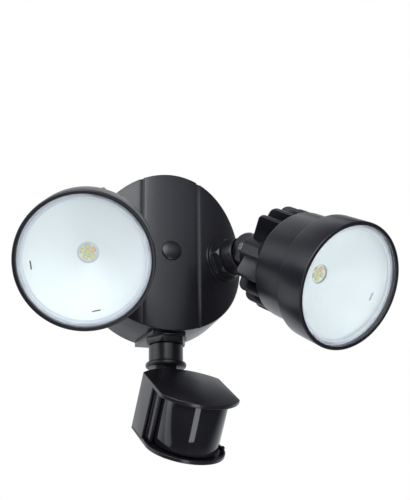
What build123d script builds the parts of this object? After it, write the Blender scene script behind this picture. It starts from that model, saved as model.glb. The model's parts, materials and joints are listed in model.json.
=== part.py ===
from build123d import *
import os
from math import asin, cos, degrees, radians, sin, sqrt

# Wall-mounted security light: a round canopy, two aimable lamp heads and a motion
# sensor, each on its own swivel arm. The wall is the plane y = 0, the light stands
# out towards -Y, and Z is up. Everything is in millimetres.

# Canopy: a round drum whose front face is curved about a vertical axis
canopy_radius = 63.5
canopy_depth = 53.0
front_curve = 96.0
canopy_wall = 2.6
gasket_thick = 2.0
groove_x = 22.6
groove_width = 2.7
groove_depth = 1.2
plug_radius = 7.75
pad_front_half, pad_back_half = 13.0, 17.0
pad_front_y = -46.0
pad_face_z = -65.0
stem_hole = 10.6
boss_seat = 18.4
post_radius = 9.5

# Crossbar that fits a round or octagonal ceiling box
bar_length = 108.0
bar_width = 20.0
bar_thick = 1.6
box_screw_spacing = 79.4
box_slot_length = 14.1
box_slot_half = 2.3
centre_screw_radius = 2.5
plug_recess = 8.0
post_end = 12.0
ground_x, ground_radius = 18.0, 2.0

# Driver box inside the canopy, on two pillars behind the front face
driver_size = (62.0, 24.0, 30.0)
driver_front = 30.0
driver_z = 36.0
driver_pillar_x = 26.0
driver_screw = 1.25
driver_seat = driver_front - 6.0

# Swivel arms: threaded stem, neck, and a tongue that the fork closes on
boss_x = 45.7
lamp_pivot = 29.35
sensor_y = -34.6
sensor_pivot = 35.5
stem_radius = 10.2
neck_radius = 13.1
cup_end = 19.8
cup_root = 13.0
wire_bore = 5.5
nut_thick = 9.0
nut_flange = (17.2, 2.0)
sensor_nut_thick = 6.0
sensor_nut_flange = (16.2, 1.2)
nut_flats = 28.0
tongue_thick = 10.6
lamp_tongue = (9.0, 9.6)
sensor_tongue = (8.8, 8.8)
collar_radius, collar_thick = 15.6, 4.0
collar_start = 19.6
screw_radius = 3.0
turning_gap = 0.3
running_gap = 0.06
cup_gap = 0.5

# Lamp head, measured along its aim from the tilt pivot, which lies below its axis
rim_from_pivot = 111.8
head_rise = 3.5
rim_radius = 47.2
ring_length = 26.2
skirt_radius, skirt_taper = 41.4, 1.0
skirt_length = 33.0
fin_places = 20
fin_bare = (0, 1, 9, 10, 11, 19)
fin_thick = 2.7
fin_radius = 39.4
fin_root = (13.4, 8.6)
fin_inner = 7.4
fin_slope = 0.86
fin_corner = 7.0
hub_back, hub_radius = 21.0, 24.0
ball_radius = 14.6
ball_flat = 9.0
stalk_half = 14.2
screw_step, nut_step = 4.2, 5.6
led_depth = 35.0
window_radius = 44.3
throat_radius = 7.4
board_radius, board_thick = 12.0, 1.6
board_screw_x = 9.6
chip_ring, chip_height = 3.9, 0.7

# Sensor head, measured from its tilt pivot: X across, Y up, Z along its aim
sensor_half = 30.35
hood_top = 16.5
hood_thick = 3.0
hood_back = 25.4
hood_back_bulge = 14.0
hood_side = 41.8
hood_front_bulge = 16.5
sensor_height = 42.2
sensor_wall = 2.0
sensor_lens_radius = 24.2
sensor_lens_z = 57.8
ear_radius = 9.4
ear_thick = 8.0
switch_window_x = (-18.0, -6.0)
switch_window_z = (31.0, 36.0)
switch_travel = 5.0
dial_x, dial_z, dial_radius = 12.0, 33.5, 5.0

# Rest pose of the three heads, in degrees: turn about the neck, then tilt down
left_turn, left_tilt = 20.8, 31.5
right_turn, right_tilt = -5.1, 30.1
sensor_turn, sensor_tilt = 7.9, 33.4

front_centre_y = front_curve - canopy_depth
boss_angle = degrees(asin(boss_x / front_curve))    # square on the curved face
slot_gap = tongue_thick / 2 + turning_gap


def front_y(x):
    """The canopy's front face at a distance x from its middle."""
    return front_centre_y - sqrt(front_curve ** 2 - x ** 2)


def disc(radius, low, high, place=Plane.XY):
    """A cylinder between two heights along the plane's normal."""
    return place * Pos(0, 0, (low + high) / 2) * Cylinder(radius, high - low)


def across(radius, low, high):
    """A cylinder between two distances along X."""
    return disc(radius, low, high, Plane.YZ)


def block(x, y, z):
    """A box given by its low and high limits along each axis."""
    middle = Pos((x[0] + x[1]) / 2, (y[0] + y[1]) / 2, (z[0] + z[1]) / 2)
    return middle * Box(x[1] - x[0], y[1] - y[0], z[1] - z[0])


def ring(outer, inner, low, high, place=Plane.XY):
    """A round washer or sleeve."""
    return disc(outer, low, high, place) - disc(inner, low - 1, high + 1, place)


# Frames. Each boss frame has its Z along the neck, each head frame its X along the
# tilt pin, its Y up and its Z along the aim.

def neck_direction(side):
    return Vector(side * sin(radians(boss_angle)), -cos(radians(boss_angle)), 0)


def lamp_frames(side, turn, tilt):
    neck = neck_direction(side)
    boss = Vector(side * boss_x, front_y(boss_x), 0)
    level = Vector(cos(radians(boss_angle)), side * sin(radians(boss_angle)), 0)
    pin = level * cos(radians(turn)) + Vector(0, 0, 1) * sin(radians(turn))
    down = pin.cross(neck)
    aim = neck * cos(radians(tilt)) + down * sin(radians(tilt))
    pivot = boss + neck * lamp_pivot
    return Plane(boss, x_dir=pin, z_dir=neck), Plane(pivot, x_dir=pin, z_dir=aim)


def sensor_frames(turn, tilt):
    neck = Vector(0, 0, -1)
    boss = Vector(0, sensor_y, pad_face_z)
    pin = Vector(cos(radians(turn)), sin(radians(turn)), 0)
    ahead = Vector(sin(radians(turn)), -cos(radians(turn)), 0)
    aim = ahead * cos(radians(tilt)) + neck * sin(radians(tilt))
    pivot = boss + neck * sensor_pivot
    return Plane(boss, x_dir=pin, z_dir=neck), Plane(pivot, x_dir=pin, z_dir=aim)


wall_plane = Plane((0, 0, 0), x_dir=(1, 0, 0), z_dir=(0, -1, 0))
frames = {
    "left": lamp_frames(-1, left_turn, left_tilt),
    "right": lamp_frames(1, right_turn, right_tilt),
    "sensor": sensor_frames(sensor_turn, sensor_tilt),
}


# Canopy group

def front_drum(radius, curve, back):
    drum = disc(radius, back, canopy_depth + 1, wall_plane)
    return drum & Pos(0, front_centre_y, 0) * Cylinder(curve, 4 * radius)


def sensor_pad():
    """The flat under the drum that the sensor's nut seats on, wider towards the wall."""
    plan = Polyline(
        (-pad_front_half, pad_front_y), (pad_front_half, pad_front_y),
        (pad_back_half, -gasket_thick), (-pad_back_half, -gasket_thick), close=True,
    )
    face = make_face(plan)
    face = fillet(face.vertices().group_by(Axis.Y)[0], 2.0)
    return Pos(0, 0, pad_face_z) * extrude(face, 15.0, dir=(0, 0, 1))


def canopy_housing():
    outer = front_drum(canopy_radius, front_curve, gasket_thick)
    rim = [e for e in outer.edges() if e.center().Y < -20 and e.geom_type != GeomType.LINE]
    outer = fillet(rim, 1.0) + sensor_pad()
    housing = outer - front_drum(canopy_radius - canopy_wall, front_curve - canopy_wall, 0)
    within = front_drum(canopy_radius - 1, front_curve - 0.5, 5)
    post = disc(post_radius, post_end, canopy_depth, wall_plane)
    post += disc(post_radius + 2, canopy_depth - 12, canopy_depth, wall_plane)
    housing += post & within
    housing -= disc(plug_radius - 0.8, canopy_depth - plug_recess, canopy_depth + 2, wall_plane)
    housing -= disc(centre_screw_radius + 0.2, 5, canopy_depth, wall_plane)
    curved_floor = Pos(0, front_centre_y, 0) * Cylinder(front_curve - groove_depth, 200)
    for side, name in ((-1, "left"), (1, "right")):
        middle = side * groove_x
        groove = (middle - groove_width / 2, middle + groove_width / 2)
        housing -= block(groove, (-60, -30), (-70, 70)) - curved_floor
        pillar = Pos(side * driver_pillar_x, 0, driver_z)
        housing += pillar * disc(4.0, driver_front, 48, wall_plane) & within
        housing -= pillar * disc(driver_screw, driver_front - 1, driver_front + 9, wall_plane)
        boss = frames[name][0]
        housing += disc(boss_seat, -6.5, 0, boss)
        housing -= disc(stem_hole, -20, 4, boss)
    return housing - disc(stem_hole, -20, 1, frames["sensor"][0])


def led_driver():
    width, depth, height = driver_size
    body = Pos(0, -(driver_front - depth / 2), driver_z) * Box(width, depth, height)
    body = fillet(body.edges().filter_by(Axis.Y), 4.0)
    for side in (-1, 1):
        pillar = Pos(side * driver_pillar_x, 0, driver_z)
        body -= pillar * disc(1.8, 0, driver_front + 1, wall_plane)
        body -= pillar * disc(4.2, 0, driver_seat, wall_plane)
    return body


def driver_screws():
    screws = []
    for side in (-1, 1):
        screw = disc(3.2, driver_seat - 2.5, driver_seat, wall_plane)
        screw += disc(driver_screw, driver_seat, driver_front + 8, wall_plane)
        screw -= Pos(0, 2.5 - driver_seat, 0) * Box(4.4, 1.8, 0.9)
        screws.append(Pos(side * driver_pillar_x, 0, driver_z) * screw)
    return Compound(children=screws)


def wall_gasket():
    return ring(canopy_radius - 0.4, 57.5, 0, gasket_thick, wall_plane)


def crossbar():
    half = bar_length / 2
    bar = block((-half, half), (-bar_thick, 0), (-bar_width / 2, bar_width / 2))
    bar = fillet(bar.edges().filter_by(Axis.Y), 5.0)
    bar += disc(6.0, bar_thick, 5.0, wall_plane)
    bar -= disc(centre_screw_radius, -1, 8, wall_plane)
    for side in (-1, 1):
        slot = SlotOverall(box_slot_length, 2 * box_slot_half)
        bar -= wall_plane * Pos(side * box_screw_spacing / 2, 0, -1) * extrude(slot, 4)
    bar -= Pos(ground_x, 0, 0) * disc(ground_radius, -1, 4, wall_plane)
    return bar


def centre_screw():
    seat = canopy_depth - plug_recess
    screw = disc(4.7, seat, seat + 3.4, wall_plane)
    screw = chamfer(screw.edges().group_by(Axis.Y)[0], 0.8)
    screw += disc(centre_screw_radius - 0.02, 1.0, seat, wall_plane)
    for turn in (0, 90):
        screw -= Rot(0, turn, 0) * Pos(0, -(seat + 3.4), 0) * Box(6.0, 3.0, 1.1)
    return screw


def centre_plug():
    stem = disc(plug_radius - 0.85, canopy_depth - 4.4, canopy_depth, wall_plane)
    cap = disc(plug_radius, canopy_depth, canopy_depth + 1.0, wall_plane)
    dome_height = 1.6
    dome_radius = (plug_radius ** 2 + dome_height ** 2) / (2 * dome_height)
    dome = Pos(0, -(canopy_depth + 1.0 + dome_height - dome_radius), 0) * Sphere(dome_radius)
    dome &= disc(plug_radius, canopy_depth + 1.0, canopy_depth + 4, wall_plane)
    seat = Pos(0, front_centre_y, 0) * Cylinder(front_curve, 40)
    collar = disc(plug_radius, canopy_depth - 0.5, canopy_depth, wall_plane) - seat
    return stem + cap + dome + collar


def ground_screw():
    place = Pos(ground_x, 0, 0)
    screw = disc(3.9, bar_thick, bar_thick + 2.4, wall_plane)
    screw += disc(ground_radius - 0.02, 0.2, bar_thick + 1, wall_plane)
    screw -= Pos(0, -(bar_thick + 2.4), 0) * Box(6.0, 2.0, 1.0)
    return place * screw


# Swivel arms

def lock_nut(thick, flange):
    corner = nut_flats / 2 / cos(radians(30))
    nut = extrude(RegularPolygon(corner, 6), thick)
    cone = Pos(0, 0, thick - 6) * Cone(corner + 5.2, corner - 1.4, 12)
    nut &= cone + disc(corner + 2, -1, thick - 6)
    nut += disc(flange[0], 0, flange[1])
    return nut - disc(stem_radius + running_gap, -1, thick + 1)


def tongue(pivot, base, width, radius):
    """A flat lug from the neck's end to a round end about the pin."""
    profile = Polyline(
        (-width, base), (width, base), (radius, pivot), (-radius, pivot), close=True,
    )
    flat = make_face(profile) + Pos(0, pivot) * Circle(radius)
    lug = extrude(Plane.YZ * flat, tongue_thick / 2, both=True)
    return lug - Pos(0, 0, pivot) * across(screw_radius + running_gap, -20, 20)


def stem():
    return disc(stem_radius, -12, nut_thick + 1)


def lamp_arm():
    """The neck ends in a cup that the head's ball turns in."""
    neck = disc(neck_radius, nut_thick + turning_gap, cup_end)
    body = fillet(neck.edges().group_by(Axis.Z)[-1], 1.2) + stem()
    body -= Pos(0, 0, lamp_pivot) * Sphere(ball_radius + cup_gap)
    body += tongue(lamp_pivot, cup_root, *lamp_tongue)
    return body - disc(wire_bore, -13, cup_root - 2)


def sensor_arm():
    """A short neck with a collar above its lug."""
    neck = disc(neck_radius, sensor_nut_thick + turning_gap, collar_start)
    neck = chamfer(neck.edges().group_by(Axis.Z)[0], 0.7)
    collar_end = collar_start + collar_thick
    collar = disc(collar_radius, collar_start, collar_end)
    ends = collar.edges().group_by(Axis.Z)
    body = neck + fillet(ends[0] + ends[-1], 1.7) + stem()
    body += tongue(sensor_pivot, collar_end - 0.5, *sensor_tongue)
    return body - disc(wire_bore, -13, collar_end - 3)


def clamp_screw(flat):
    """Pan-head screw along X through a fork, with its head at the low end."""
    head = across(3.7, -flat - 2.6, -flat)
    head = fillet(head.edges().group_by(Axis.X)[0], 1.2)
    shank = across(screw_radius, -flat, flat + 4.6)
    slots = block((-flat - 3, -flat - 1.5), (-2.4, 2.4), (-0.5, 0.5))
    slots += block((-flat - 3, -flat - 1.5), (-0.5, 0.5), (-2.4, 2.4))
    return head + shank - slots


def clamp_nut(flat):
    nut = Plane.YZ * extrude(RegularPolygon(5.2, 6), 3.8)
    return Pos(flat, 0, 0) * nut - across(screw_radius, -30, 30)


# Lamp head, from the pivot forwards

ring_back = rim_from_pivot - ring_length
skirt_back = ring_back - skirt_length
lens_back = rim_from_pivot - 4.0
shelf = rim_from_pivot - 6.2
board_face = rim_from_pivot - led_depth


def fins():
    """Blades that taper back onto the stalk, with none beside the clamp screw."""
    back = fin_root[1] + fin_slope * (fin_radius - fin_root[0])
    profile = Polyline(
        (fin_inner, fin_root[1]), fin_root, (fin_radius, back), (fin_radius, skirt_back + 1),
        (fin_inner, skirt_back + 1), close=True,
    )
    face = make_face(profile)
    outer_corner = face.vertices().sort_by(lambda v: v.X - v.Y)[-1]
    face = fillet(outer_corner, fin_corner)
    blade = extrude(Plane.XZ * face, fin_thick / 2, both=True)
    places = [i for i in range(fin_places) if i not in fin_bare]
    return [Rot(0, 0, 360 / fin_places * i) * blade for i in places]


def fork():
    """Ball and stalk, cut back beside the clamp screw's head and nut."""
    body = Sphere(ball_radius) + disc(ball_radius, 0, skirt_back + 1)
    body &= Box(2 * stalk_half, 40, 200)
    body -= block((-20, -ball_flat), (-20, 20), (-20, screw_step))
    return body - block((ball_flat, 20), (-20, 20), (-20, nut_step))


def fork_slot():
    """Room for the arm's tongue between the fork's cheeks, and the screw's hole."""
    gap = block((-slot_gap, slot_gap), (-20, 20), (-20, 0))
    gap += across(ball_radius + 0.3, -slot_gap, slot_gap)
    return gap + across(screw_radius, -20, 20)


def heat_sink():
    flange = rim_from_pivot - 19.6
    skirt = Pos(0, 0, (skirt_back + flange) / 2)
    skirt *= Cone(skirt_radius - skirt_taper, skirt_radius, flange - skirt_back)
    skirt = fillet(skirt.edges().group_by(Axis.Z)[0], 3.5)
    skirt += disc(window_radius - 0.1, ring_back + 2.8, flange)
    hub_length = skirt_back + 1 - hub_back
    skirt += Pos(0, 0, hub_back + hub_length / 2) * Cone(ball_radius, hub_radius, hub_length)
    body = Pos(0, head_rise, 0) * (skirt + fins()) + fork() - fork_slot()
    cup = disc(38.4, skirt_back + 5.5, rim_from_pivot)
    pedestal = disc(board_radius + 1, skirt_back + 4, board_face - board_thick)
    body -= Pos(0, head_rise, 0) * (cup - pedestal)
    for side in (-1, 1):
        hole = disc(0.95, board_face - 9, board_face)
        body -= Pos(side * board_screw_x, head_rise, 0) * hole
    return body


def front_ring():
    front, back = rim_radius, rim_radius - 1.0
    shell = Pos(0, 0, (ring_back + rim_from_pivot) / 2) * Cone(back, front, ring_length)
    ends = shell.edges().group_by(Axis.Z)
    shell = fillet(ends[-1], 0.8)
    shell = fillet(shell.edges().group_by(Axis.Z)[0], 1.0)
    shell -= disc(window_radius, shelf, rim_from_pivot + 1)
    shell -= disc(window_radius - 0.8, shelf - 2, shelf)
    shell -= disc(window_radius, ring_back + 2.8, shelf - 2)
    return shell - disc(skirt_radius + 0.05, ring_back - 1, ring_back + 2.8)


def lens_gasket():
    return ring(window_radius - 0.05, 41.9, lens_back - 0.6, lens_back)


def lens():
    window = disc(window_radius - 0.1, lens_back, rim_from_pivot - 1.0)
    groove = ring(window_radius - 1.6, window_radius - 2.4, rim_from_pivot - 1.5, rim_from_pivot)
    return window - groove


def reflector():
    wall_end = rim_from_pivot - 10.0
    outer = Polyline(
        (throat_radius, board_face + 0.1), (board_radius, board_face + 0.1),
        (board_radius, board_face + 1.5),
        (window_radius - 1.0, wall_end - 1.2), (window_radius - 1.0, shelf),
        (window_radius - 0.1, shelf), (window_radius - 0.1, lens_back - 0.6),
        (window_radius - 2.0, lens_back - 0.6), (window_radius - 2.0, wall_end),
        (throat_radius, board_face + 1.9), close=True,
    )
    bowl = revolve(Plane.XZ * make_face(outer), Axis.Z)
    for i in range(4):
        clip = block((39.0, 46.0), (-1.5, 1.5), (wall_end + 2.2, wall_end + 3.4))
        bowl -= Rot(0, 0, 90 * i) * clip
    return bowl


def led_board():
    board = disc(board_radius, board_face - board_thick, board_face)
    for side in (-1, 1):
        board -= Pos(side * board_screw_x, 0, 0) * disc(1.2, board_face - 2, board_face + 1)
    return board


def led_chips():
    """One chip in the middle and five about it, as separate solids."""
    chips = []
    for i in range(6):
        spin = Rot(0, 0, 72 * i + 18) * Pos(chip_ring, 0, 0) if i < 5 else Rot(0, 0, 30)
        height = (board_face, board_face + chip_height)
        chips.append(spin * block((-1.4, 1.4), (-1.75, 1.75), height))
    return Compound(children=chips)


def board_screws():
    screws = []
    for side in (-1, 1):
        screw = disc(0.9, board_face - 8, board_face)
        screws.append(Pos(side * board_screw_x, 0, 0) * screw)
    return Compound(children=screws)


# Sensor head, from the pivot forwards

hood_front = hood_back + hood_side
sensor_bottom = hood_top - sensor_height
panel_front = hood_back + 23.2
lens_low, lens_high = sensor_bottom + 2.6, hood_top - hood_thick - 0.4


def upright(face, low, high):
    """Extrude a plan, drawn with x across and y along the aim, between two heights."""
    plan = Plane((0, high, 0), x_dir=(1, 0, 0), z_dir=(0, -1, 0))
    return extrude(plan * face, high - low)


def back_outline(inset, front):
    """The body's plan: a bulging back and straight sides."""
    half = sensor_half - inset
    apex = hood_back - hood_back_bulge + inset
    back = ThreePointArc((-half, hood_back), (0, apex), (half, hood_back))
    sides = Polyline((half, hood_back), (half, front), (-half, front), (-half, hood_back))
    return make_face(back + sides)


def hood_plan():
    half = sensor_half
    back = ThreePointArc((-half, hood_back), (0, hood_back - hood_back_bulge), (half, hood_back))
    right_edge = Line((half, hood_back), (half, hood_front))
    front = ThreePointArc((half, hood_front), (0, hood_front + hood_front_bulge), (-half, hood_front))
    left_edge = Line((-half, hood_front), (-half, hood_back))
    face = make_face(back + right_edge + front + left_edge)
    return fillet(face.vertices().group_by(Axis.Y)[-1], 5.0)


def sensor_ears():
    ears = []
    for side in (-1, 1):
        near, far = sorted((side * slot_gap, side * (slot_gap + ear_thick)))
        ear = across(ear_radius, near, far)
        ear += block((near, far), (-ear_radius, ear_radius), (0, hood_back - 6))
        ears.append(ear)
    return ears


def sensor_housing():
    shell = upright(back_outline(0, panel_front), sensor_bottom, hood_top)
    hood = upright(hood_plan(), hood_top - hood_thick, hood_top)
    top_edges = hood.edges().group_by(Axis.Y)[-1]
    hood = fillet(top_edges, 0.9)
    body = shell + hood + sensor_ears()
    inside = upright(back_outline(sensor_wall, 100), sensor_bottom - 1, hood_top - hood_thick)
    body -= inside
    body -= block((-slot_gap, slot_gap), (-ear_radius - 1, ear_radius + 1), (-20, 9.6))
    return body - across(screw_radius, -40, 40)


def cover_plan(inset):
    """The bottom cover's plan: straight sides and an elliptical front."""
    half, reach = sensor_half - inset, 27.7 - inset
    body = back_outline(inset, sensor_lens_z)
    nose = Pos(0, sensor_lens_z) * Ellipse(half, reach)
    return body + nose


def bottom_cover():
    plate = upright(cover_plan(0), sensor_bottom - 1.6, sensor_bottom)
    lip = upright(cover_plan(0) - cover_plan(1.6), sensor_bottom, sensor_bottom + 1.2)
    lip &= block((-40, 40), (-60, 60), (panel_front + 0.1, 100))
    plate += lip
    tab = block((26.6, 28.4), (sensor_bottom, sensor_bottom + 4.4), (62.0, 65.0))
    plate += tab
    rise = sensor_bottom + 3
    spigot = upright(back_outline(sensor_wall + 0.1, panel_front - 1), sensor_bottom, rise)
    spigot -= upright(back_outline(sensor_wall + 1.6, panel_front - 2.6), sensor_bottom, rise)
    plate += spigot
    plate -= block(switch_window_x, (-60, 0), switch_window_z)
    return plate - Pos(dial_x, 0, dial_z) * disc(dial_radius + turning_gap, 0, 60, wall_plane)


def time_switch():
    low = switch_window_x[0] + turning_gap
    high = switch_window_x[1] - turning_gap - switch_travel
    z = (switch_window_z[0] + turning_gap, switch_window_z[1] - turning_gap)
    button = block((low, high), (sensor_bottom - 3.0, sensor_bottom + 1.0), z)
    keeper_z = (z[0] - 1.5, z[1] + 1.5)
    button += block((low, high), (sensor_bottom + turning_gap, sensor_bottom + 2.2), keeper_z)
    for i in range(3):
        x = (low + high) / 2 + 1.6 * (i - 1)
        button -= block((x - 0.4, x + 0.4), (sensor_bottom - 3.4, sensor_bottom - 2.5), (20, 50))
    return button


def range_dial():
    place = Pos(dial_x, 0, dial_z)
    knob = disc(dial_radius, -sensor_bottom - 2.2, -sensor_bottom + 3.0, wall_plane)
    knob -= block((-4.0, 4.0), (sensor_bottom - 4, sensor_bottom - 2.0), (-0.6, 0.6))
    return place * knob


def lens_frame():
    """A flat frame behind the window with a strip up each side of it."""
    low, high = sensor_bottom + 1.3, hood_top - hood_thick
    frame = block((-28.0, 28.0), (low, high), (panel_front - 0.6, panel_front + 1.4))
    frame -= block((-21.0, 21.0), (low + 3, high - 3), (40, 70))
    for side in (-1, 1):
        near, far = sorted((side * 24.9, side * 27.6))
        frame += block((near, far), (low, high), (panel_front, sensor_lens_z - 0.6))
    return frame


def sensor_lens():
    outer = Circle(sensor_lens_radius) - Circle(sensor_lens_radius - 1.1)
    half_ring = outer & Pos(0, 20) * Rectangle(80, 40)
    walls = [
        Pos(side * (sensor_lens_radius - 0.55), -3.4) * Rectangle(1.1, 6.9) for side in (-1, 1)
    ]
    return upright(Pos(0, sensor_lens_z) * (half_ring + walls), lens_low, lens_high)


def sensor_board():
    return block((-23.0, 23.0), (sensor_bottom + 4, hood_top - hood_thick - 1.0), (41.0, 42.6))


def pir_detector():
    place = Pos(0, -6, 42.6)
    can = disc(4.6, 0, 0.8)
    can += disc(4.1, 0.8, 4.4)
    can -= block((-1.8, 1.8), (-1.4, 1.4), (4.1, 5))
    return place * can


# Every node, built in its own frame and written where it stands

def lamp_nodes(side):
    boss, head = frames[side]
    centre = head * Pos(0, head_rise, 0)
    return {
        f"{side}_lock_nut": boss * lock_nut(nut_thick, nut_flange),
        f"{side}_arm": boss * lamp_arm(),
        f"{side}_heat_sink": head * heat_sink(),
        f"{side}_front_ring": centre * front_ring(),
        f"{side}_lens_gasket": centre * lens_gasket(),
        f"{side}_lens": centre * lens(),
        f"{side}_reflector": centre * reflector(),
        f"{side}_led_board": centre * led_board(),
        f"{side}_led_chips": centre * led_chips(),
        f"{side}_board_screws": centre * board_screws(),
        f"{side}_clamp_screw": head * clamp_screw(ball_flat),
        f"{side}_clamp_nut": head * clamp_nut(ball_flat),
    }


def sensor_nodes():
    boss, head = frames["sensor"]
    ear_face = slot_gap + ear_thick
    return {
        "sensor_lock_nut": boss * lock_nut(sensor_nut_thick, sensor_nut_flange),
        "sensor_arm": boss * sensor_arm(),
        "sensor_housing": head * sensor_housing(),
        "sensor_bottom_cover": head * bottom_cover(),
        "sensor_lens_frame": head * lens_frame(),
        "sensor_lens": head * sensor_lens(),
        "sensor_board": head * sensor_board(),
        "pir_detector": head * pir_detector(),
        "time_switch": head * time_switch(),
        "range_dial": head * range_dial(),
        "sensor_clamp_screw": head * clamp_screw(ear_face),
        "sensor_clamp_nut": head * clamp_nut(ear_face),
    }


def canopy_nodes():
    return {
        "canopy_housing": canopy_housing(),
        "wall_gasket": wall_gasket(),
        "crossbar": crossbar(),
        "centre_screw": centre_screw(),
        "centre_plug": centre_plug(),
        "led_driver": led_driver(),
        "driver_screws": driver_screws(),
        "ground_screw": ground_screw(),
    }


def main():
    os.makedirs("parts", exist_ok=True)
    nodes = {**canopy_nodes(), **lamp_nodes("left"), **lamp_nodes("right"), **sensor_nodes()}
    for name, shape in nodes.items():
        export_step(shape, f"parts/{name}.step")
    for name, (boss, head) in frames.items():
        print(name, "neck", tuple(boss.z_dir), "boss", tuple(boss.origin))
        print(name, "pivot", tuple(head.origin), "pin", tuple(head.x_dir), "aim", tuple(head.z_dir))


if __name__ == "__main__":
    main()
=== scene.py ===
import json
import bmesh
import bpy
from math import asin, atan, atan2, copysign, cos, degrees, hypot, pi, radians, sin, sqrt, tan
from mathutils import Matrix, Vector


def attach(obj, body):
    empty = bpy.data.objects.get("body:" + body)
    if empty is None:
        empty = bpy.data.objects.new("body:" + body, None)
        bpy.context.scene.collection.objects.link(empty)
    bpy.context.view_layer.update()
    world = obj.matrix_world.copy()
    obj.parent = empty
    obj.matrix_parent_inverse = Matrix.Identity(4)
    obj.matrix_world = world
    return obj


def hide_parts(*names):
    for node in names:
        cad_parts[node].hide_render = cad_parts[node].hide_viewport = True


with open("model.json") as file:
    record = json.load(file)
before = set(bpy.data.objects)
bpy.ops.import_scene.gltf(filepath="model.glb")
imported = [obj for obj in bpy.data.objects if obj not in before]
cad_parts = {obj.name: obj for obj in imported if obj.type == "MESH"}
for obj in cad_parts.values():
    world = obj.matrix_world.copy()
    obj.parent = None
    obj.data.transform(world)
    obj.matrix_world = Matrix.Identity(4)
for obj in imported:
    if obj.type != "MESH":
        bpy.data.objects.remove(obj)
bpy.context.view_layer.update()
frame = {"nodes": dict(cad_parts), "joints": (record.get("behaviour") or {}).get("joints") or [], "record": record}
nodes = frame["nodes"]
joints = {joint["name"]: joint for joint in frame["joints"]}
scene = bpy.context.scene
mm = 0.001
wholeTurn = 2 * pi
print("frame loaded,", len(nodes), "nodes")


def linked(name, data):
    made = bpy.data.objects.new(name, data)
    scene.collection.objects.link(made)
    return made


def pick(sizes, names):
    # several values of a dictionary at once
    return [sizes[name] for name in names.split()]


# Camera at the photograph's angle, then the lamps

cameraView = dict(
    azimuth=16.71, elevation=19.23, roll=-0.82, distance=0.9422, aside=0.04075,
    lift=0.01744, lens=83.35, sensorWidth=36, clip=(0.01, 50),
)


def addCamera(view):
    a, e, roll = (radians(view[k]) for k in ("azimuth", "elevation", "roll"))
    ahead = Vector((sin(a) * cos(e), cos(a) * cos(e), sin(e)))
    right = Vector((cos(a), -sin(a), 0))
    up = right.cross(ahead)
    aside = right * cos(roll) + up * sin(roll)
    lift = up * cos(roll) - right * sin(roll)
    place = -view["distance"] * ahead + view["aside"] * aside + view["lift"] * lift
    turn = Matrix((aside, lift, -ahead)).transposed().to_4x4()
    camera = linked("camera", bpy.data.cameras.new("camera"))
    camera.matrix_world = Matrix.Translation(place) @ turn
    camera.data.lens = view["lens"]
    camera.data.sensor_width = view["sensorWidth"]
    camera.data.clip_start, camera.data.clip_end = view["clip"]
    scene.camera = camera


addCamera(cameraView)
scene.view_settings.view_transform = "Standard"

lampColour = (0.96, 0.98, 1.0)
lamps = {
    # name: place, aimed at, width, height, watts, seen in gloss
    "softLeft": ((-0.8, -1.2, 0.5), (0, -0.08, 0), 1.2, 1.3, 15.5, True),
    "softTop": ((-0.1, 0.55, 1.2), (0, -0.08, 0), 1.2, 0.6, 2, True),
    "softSide": ((-1.4, 0.2, -0.3), (0, -0.08, -0.1), 0.5, 1.7, 2.5, True),
    "softBelow": ((0.5, 0.25, -0.7), (0, -0.06, -0.05), 0.9, 0.7, 4, False),
    "stripFront": ((-0.01, -0.79, -0.71), (0, -0.08, -0.12), 0.27, 0.8, 2.6, True),
    "fillFront": ((-0.25, -1.5, -0.65), (0, -0.12, 0), 1.2, 0.9, 2.5, False),
    "fillRight": ((1.1, -1.3, -0.2), (0.1, -0.12, 0), 1.0, 0.9, 10, False),
}


def addLamp(name, place, target, width, height, watts, inGloss):
    data = bpy.data.lights.new(name, "AREA")
    data.shape = "RECTANGLE"
    data.size = width
    data.size_y = height
    data.energy = watts
    data.color = lampColour
    lamp = linked(name, data)
    turn = (Vector(place) - Vector(target)).to_track_quat("Z", "Y")
    lamp.matrix_world = Matrix.Translation(place) @ turn.to_matrix().to_4x4()
    lamp.visible_glossy = inGloss
    lamp.visible_camera = False


for name, settings in lamps.items():
    addLamp(name, *settings)
print("camera and lamps placed")

# Node trees: a signal is a socket that takes part in sums


class Signal:
    def __init__(self, nodes, socket):
        self.nodes = nodes
        self.socket = socket

    def __add__(self, other):
        return self.nodes.maths("ADD", self, other)

    def __sub__(self, other):
        return self.nodes.maths("SUBTRACT", self, other)

    def __rsub__(self, other):
        return self.nodes.maths("SUBTRACT", other, self)

    def __mul__(self, other):
        return self.nodes.maths("MULTIPLY", self, other)

    __radd__ = __add__
    __rmul__ = __mul__


class Nodes:
    # the tree of a material, the world or a modifier, and its output node
    def __init__(self, tree, kind):
        self.tree = tree
        tree.nodes.clear()
        self.out = self.node(kind, {})

    def show(self, last):
        self.tree.links.new(last.outputs[0], self.out.inputs[0])

    def node(self, kind, settings, *values, **named):
        node = self.tree.nodes.new(kind)
        for key, value in settings.items():
            setattr(node, key, value)
        for index, value in list(enumerate(values)) + list(named.items()):
            self.feed(node.inputs[index], value)
        return node

    def feed(self, socket, value):
        if isinstance(value, Signal):
            self.tree.links.new(value.socket, socket)
        elif hasattr(value, "is_linked"):
            self.tree.links.new(value, socket)
        else:
            if socket.type == "RGBA" and len(value) == 3:
                value = (*value, 1)
            socket.default_value = value

    def maths(self, operation, *values):
        node = self.node("ShaderNodeMath", {"operation": operation}, *values)
        return Signal(self, node.outputs[0])

    def ramp(self, signal, start, end, low, high, ease="LINEAR"):
        settings = {"clamp": True, "interpolation_type": ease}
        node = self.node("ShaderNodeMapRange", settings, signal, start, end, low, high)
        return Signal(self, node.outputs[0])


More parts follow.
